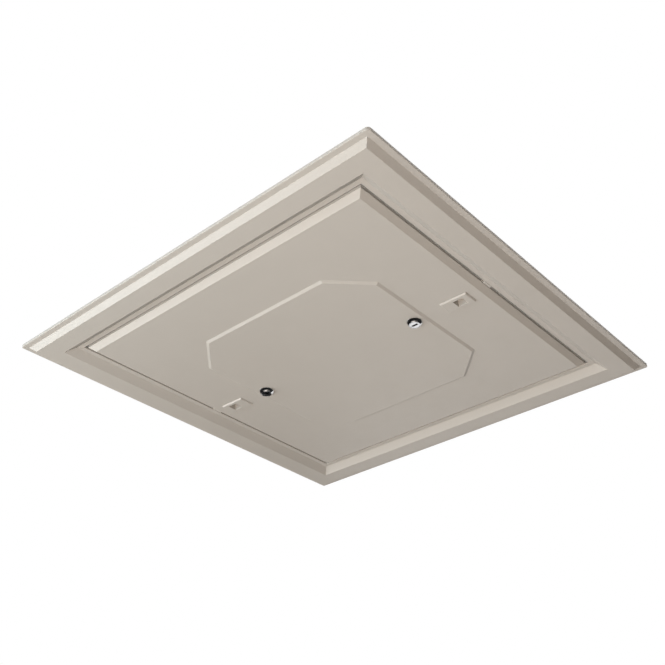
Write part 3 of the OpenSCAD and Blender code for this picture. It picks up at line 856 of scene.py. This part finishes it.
def add_area(name, place, watts, colour=WHITE, size=LAMP_SIZE, spread=FULL_SPREAD):
    """A square soft lamp at a place, aimed at the panel's middle and hidden from reflections."""
    lamp = bpy.data.lights.new(name, "AREA")
    lamp.size = size
    lamp.energy = watts
    lamp.color = colour
    lamp.spread = math.radians(spread)
    made = new_object(name, lamp)
    made.location = place
    aim(made, -place)
    made.visible_glossy = False
    return made


def keep_off(lamp, pieces):
    """Stops a lamp from lighting some pieces, given by name."""
    dark = bpy.data.collections.new(f"{lamp.name}_kept_off")
    for piece in pieces:
        dark.objects.link(bpy.data.objects[piece])
    lamp.light_linking.receiver_collection = dark
    for row in dark.collection_objects:
        row.light_linking.link_state = "EXCLUDE"


def add_room_lights():
    """Daylight from -X and weak light from +X; the side lamp's sheen is kept off the chrome."""
    add_area("window_light", WINDOW_AT, watts=52.2, colour=WINDOW_TINT)
    add_area("sky_light", SKY_AT, watts=5.4, colour=SKY_TINT)
    add_area("far_light", FAR_AT, watts=2.5, colour=FAR_TINT)
    side = add_area("side_light", SIDE_AT, watts=40.0, colour=SIDE_TINT, size=SIDE_LAMP_SIZE)
    side.visible_glossy = True
    keep_off(side, [f"{lock}_{piece}" for lock in LOCKS for piece in ("threaded_body", "key_plug")])


def add_loft_lights():
    """Soft lamps above the ceiling plane; those round the sides don't light the floor."""
    add_area("loft_light", LOFT_AT, watts=5.0, spread=LOFT_SPREAD)
    for azimuth in LOFT_AZIMUTHS:
        place = Matrix.Rotation(math.radians(azimuth), 3, "Z") @ LOFT_SIDE_AT
        keep_off(add_area(f"loft_light_{azimuth}", place, watts=14.0), ["floor"])


def background(tree, strength):
    """A white background of some strength."""
    made = new_node(tree, "ShaderNodeBackground")
    made.inputs["Color"].default_value = (*WHITE, 1.0)
    made.inputs["Strength"].default_value = strength
    return made.outputs["Background"]


def add_world():
    """White to the camera and in reflections, dim to everything else."""
    world = bpy.data.worlds.new("studio")
    bpy.context.scene.world = world
    world.use_nodes = True
    tree = world.node_tree
    tree.nodes.clear()
    seen = background(tree, WORLD_SEEN)
    fill = background(tree, WORLD_FILL)
    path = new_node(tree, "ShaderNodeLightPath")
    camera_or_gloss = new_node(tree, "ShaderNodeMath", operation="MAXIMUM")
    shown = new_node(tree, "ShaderNodeMath", operation="MAXIMUM")
    mix = new_node(tree, "ShaderNodeMixShader")
    out = new_node(tree, "ShaderNodeOutputWorld")
    link(tree, path.outputs["Is Camera Ray"], camera_or_gloss.inputs[0])
    link(tree, path.outputs["Is Glossy Ray"], camera_or_gloss.inputs[1])
    link(tree, camera_or_gloss.outputs[0], shown.inputs[0])
    link(tree, path.outputs["Is Transmission Ray"], shown.inputs[1])
    link(tree, shown.outputs[0], mix.inputs["Fac"])
    link(tree, fill, mix.inputs[1])
    link(tree, seen, mix.inputs[2])
    link(tree, mix.outputs[0], out.inputs["Surface"])


def add_camera():
    lens = bpy.data.cameras.new("camera")
    lens.lens = CAMERA_LENS
    lens.sensor_width = SENSOR_WIDTH
    made = new_object("camera", lens)
    made.location = CAMERA_AT
    aim(made, CAMERA_AIM)
    bpy.context.scene.camera = made


bpy.context.scene.view_settings.view_transform = "Standard"
finish_nodes()
add_pan_screws()
add_rivets()
add_locks()
add_seal()
add_foam_block()
add_floor()
add_dark_wall()
add_room_lights()
add_loft_lights()
add_world()
add_camera()
